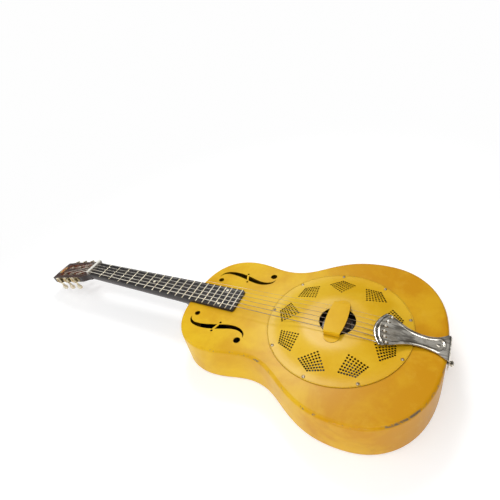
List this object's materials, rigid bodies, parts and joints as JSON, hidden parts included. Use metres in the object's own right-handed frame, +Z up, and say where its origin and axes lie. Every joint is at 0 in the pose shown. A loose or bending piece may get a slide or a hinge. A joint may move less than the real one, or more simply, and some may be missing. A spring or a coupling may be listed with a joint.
{
  "type": "resonator guitar",
  "caption": "Metal-bodied resonator guitar with a single cone, perforated round cover plate, palm rest, tailpiece, slotted headstock and geared tuners.",
  "frame": {"origin": "the resonator's axis on the outer plane of the back", "axes": "+Z up out of the top, +X along the strings from the headstock towards the tail, +Y towards the treble side"},
  "size_m": [1.0027, 0.372, 0.103],
  "materials": {
    "body_paint": "aged gloss, worn at the edges",
    "cover_paint": "aged gloss",
    "sheet_metal": "bare pressed steel",
    "spun_aluminium": "spun",
    "nickel": "aged nickel plate",
    "plated_steel": "tarnished plate",
    "tuner_steel": "tarnished nickel",
    "gear_brass": "aged",
    "roller_bone": "polished",
    "button_white": "polished, yellowed",
    "mahogany": "dark stained lacquer",
    "plain_wood": "unfinished maple",
    "maple": "unfinished maple",
    "ebonised_board": "dull, worn",
    "fret_wire": "worn nickel silver",
    "bone": "polished",
    "pearl": "pearly",
    "string_steel": "bright",
    "string_bronze": "wound"
  },
  "bodies": {
    "guitar": {"top_plate": "body_paint", "side_band": "body_paint", "back_plate": "body_paint", "sound_well": "sheet_metal", "resonator_cone": "spun_aluminium", "biscuit": "maple", "saddle": "maple", "biscuit_screw": "plated_steel", "cover_plate": "cover_paint", "palm_rest": "cover_paint", "cover_screws": "plated_steel", "tailpiece": "nickel", "tailpiece_screw": "nickel", "end_pin": "nickel", "neck": "mahogany", "neck_stick": "plain_wood", "support_blocks": "plain_wood", "tail_block": "plain_wood", "fretboard": "ebonised_board", "frets": "fret_wire", "nut": "ebonised_board", "nut_riser": "bone", "position_dots": "pearl", "neck_screws": "plated_steel", "plain_strings": "string_steel", "wound_strings": "string_bronze", "tuner_plate_bass": "tuner_steel", "tuner_plate_treble": "tuner_steel", "tuner_plate_screws": "plated_steel"},
    "worm_1": {"worm_shaft_1": "tuner_steel", "button_1": "button_white"},
    "gear_1": {"gear_1": "gear_brass", "roller_1": "roller_bone", "string_winding_1": "string_steel"},
    "worm_2": {"worm_shaft_2": "tuner_steel", "button_2": "button_white"},
    "gear_2": {"gear_2": "gear_brass", "roller_2": "roller_bone", "string_winding_2": "string_steel"},
    "worm_3": {"worm_shaft_3": "tuner_steel", "button_3": "button_white"},
    "gear_3": {"gear_3": "gear_brass", "roller_3": "roller_bone", "string_winding_3": "string_bronze"},
    "worm_4": {"worm_shaft_4": "tuner_steel", "button_4": "button_white"},
    "gear_4": {"gear_4": "gear_brass", "roller_4": "roller_bone", "string_winding_4": "string_bronze"},
    "worm_5": {"worm_shaft_5": "tuner_steel", "button_5": "button_white"},
    "gear_5": {"gear_5": "gear_brass", "roller_5": "roller_bone", "string_winding_5": "string_bronze"},
    "worm_6": {"worm_shaft_6": "tuner_steel", "button_6": "button_white"},
    "gear_6": {"gear_6": "gear_brass", "roller_6": "roller_bone", "string_winding_6": "string_bronze"}
  },
  "joints": [
    {"name": "button_turn_1", "type": "hinge", "parent": "guitar", "child": "worm_1", "pos_m": [-0.69398, 0.0366, 0.06718], "axis": [-0.2334, 0, 0.9724], "continuous": true},
    {"name": "roller_turn_1", "type": "hinge", "parent": "guitar", "child": "gear_1", "pos_m": [-0.70312, 0.0366, 0.06499], "axis": [0, 1, 0], "continuous": true},
    {"name": "button_turn_2", "type": "hinge", "parent": "guitar", "child": "worm_2", "pos_m": [-0.7285, 0.0366, 0.05889], "axis": [-0.2334, 0, 0.9724], "continuous": true},
    {"name": "roller_turn_2", "type": "hinge", "parent": "guitar", "child": "gear_2", "pos_m": [-0.73764, 0.0366, 0.0567], "axis": [0, 1, 0], "continuous": true},
    {"name": "button_turn_3", "type": "hinge", "parent": "guitar", "child": "worm_3", "pos_m": [-0.76302, 0.0366, 0.05061], "axis": [-0.2334, 0, 0.9724], "continuous": true},
    {"name": "roller_turn_3", "type": "hinge", "parent": "guitar", "child": "gear_3", "pos_m": [-0.77216, 0.0366, 0.04841], "axis": [0, 1, 0], "continuous": true},
    {"name": "button_turn_4", "type": "hinge", "parent": "guitar", "child": "worm_4", "pos_m": [-0.76302, -0.0366, 0.05061], "axis": [-0.2334, 0, 0.9724], "continuous": true},
    {"name": "roller_turn_4", "type": "hinge", "parent": "guitar", "child": "gear_4", "pos_m": [-0.77216, -0.0366, 0.04841], "axis": [0, 1, 0], "continuous": true},
    {"name": "button_turn_5", "type": "hinge", "parent": "guitar", "child": "worm_5", "pos_m": [-0.7285, -0.0366, 0.05889], "axis": [-0.2334, 0, 0.9724], "continuous": true},
    {"name": "roller_turn_5", "type": "hinge", "parent": "guitar", "child": "gear_5", "pos_m": [-0.73764, -0.0366, 0.0567], "axis": [0, 1, 0], "continuous": true},
    {"name": "button_turn_6", "type": "hinge", "parent": "guitar", "child": "worm_6", "pos_m": [-0.69398, -0.0366, 0.06718], "axis": [-0.2334, 0, 0.9724], "continuous": true},
    {"name": "roller_turn_6", "type": "hinge", "parent": "guitar", "child": "gear_6", "pos_m": [-0.70312, -0.0366, 0.06499], "axis": [0, 1, 0], "continuous": true}
  ],
  "couplings": [
    {"joint": "roller_turn_1", "follows": "button_turn_1", "ratio": -0.071429},
    {"joint": "roller_turn_2", "follows": "button_turn_2", "ratio": -0.071429},
    {"joint": "roller_turn_3", "follows": "button_turn_3", "ratio": -0.071429},
    {"joint": "roller_turn_4", "follows": "button_turn_4", "ratio": 0.071429},
    {"joint": "roller_turn_5", "follows": "button_turn_5", "ratio": 0.071429},
    {"joint": "roller_turn_6", "follows": "button_turn_6", "ratio": 0.071429}
  ]
}
